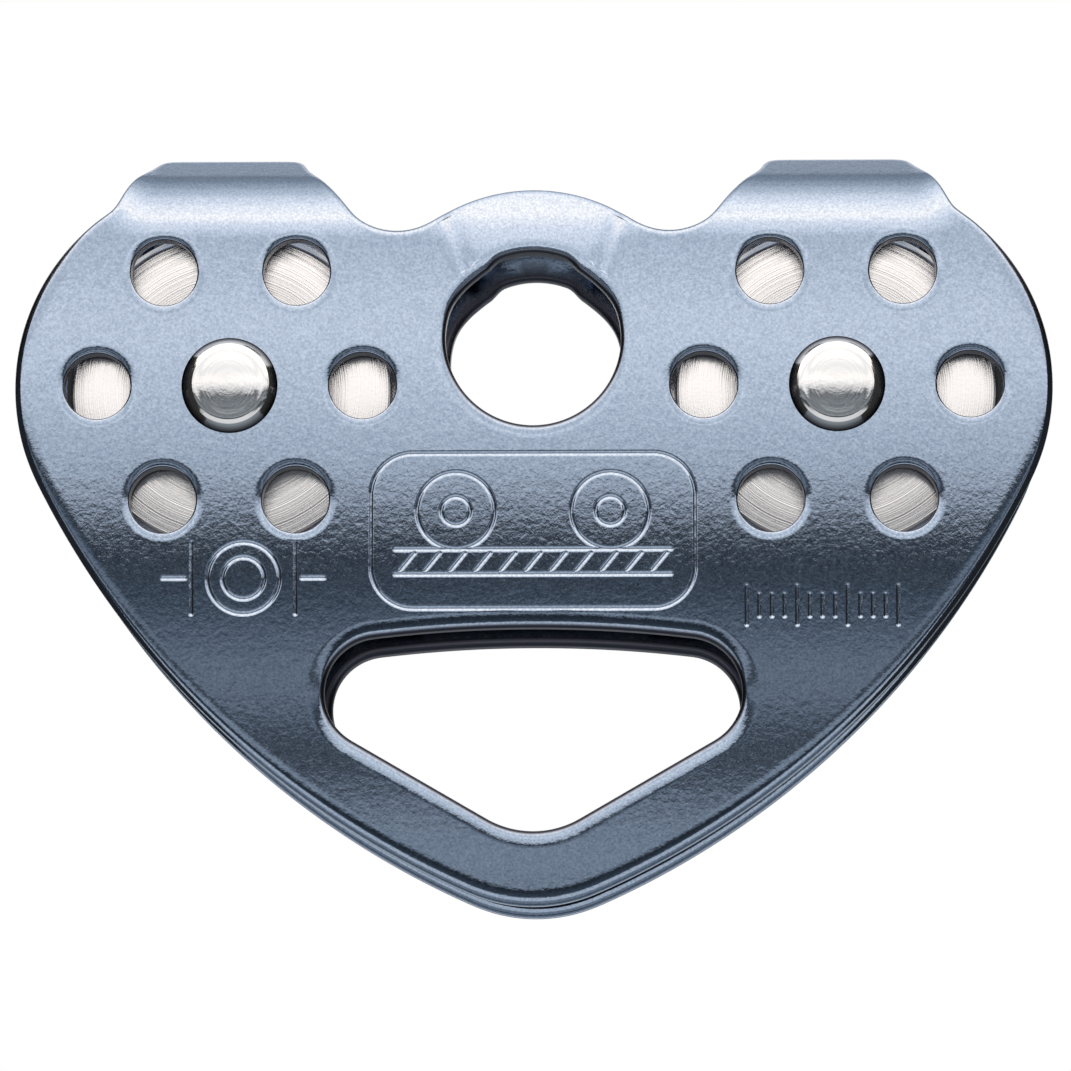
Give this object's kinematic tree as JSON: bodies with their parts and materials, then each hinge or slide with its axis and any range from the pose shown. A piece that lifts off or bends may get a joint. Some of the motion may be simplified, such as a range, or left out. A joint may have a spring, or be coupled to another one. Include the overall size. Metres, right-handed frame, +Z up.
{
  "type": "rope pulley",
  "caption": "In-line rope pulley: free-turning grooved sheaves side by side between fixed heart-shaped side plates, with a lower opening for a connector.",
  "frame": {"origin": "midway between the two sheaves, on the line where a straight rope touches the bottom of both treads", "axes": "+X along the rope, +Y from the front side plate to the rear one, +Z up from the rope towards the axles"},
  "size_m": [0.1242, 0.0266, 0.0916],
  "materials": {
    "side_plate": "blue-grey anodised over a fine blasted texture",
    "sheave": "bare, fine turning marks",
    "bushing": "self-lubricating bearing material",
    "steel": "bright, spun smooth"
  },
  "bodies": {
    "side_frame": {"front_side_plate": "side_plate", "rear_side_plate": "side_plate", "left_axle_sleeve": "steel", "left_axle_rivet": "steel", "left_front_thrust_washer": "steel", "left_rear_thrust_washer": "steel", "right_axle_sleeve": "steel", "right_axle_rivet": "steel", "right_front_thrust_washer": "steel", "right_rear_thrust_washer": "steel"},
    "left_wheel": {"left_sheave": "sheave", "left_front_bushing": "bushing", "left_rear_bushing": "bushing"},
    "right_wheel": {"right_sheave": "sheave", "right_front_bushing": "bushing", "right_rear_bushing": "bushing"}
  },
  "joints": [
    {"name": "left_sheave_spin", "type": "hinge", "parent": "side_frame", "child": "left_wheel", "pos_m": [-0.0363, 0, 0.0105], "axis": [0, 1, 0], "continuous": true},
    {"name": "right_sheave_spin", "type": "hinge", "parent": "side_frame", "child": "right_wheel", "pos_m": [0.0363, 0, 0.0105], "axis": [0, 1, 0], "continuous": true}
  ]
}
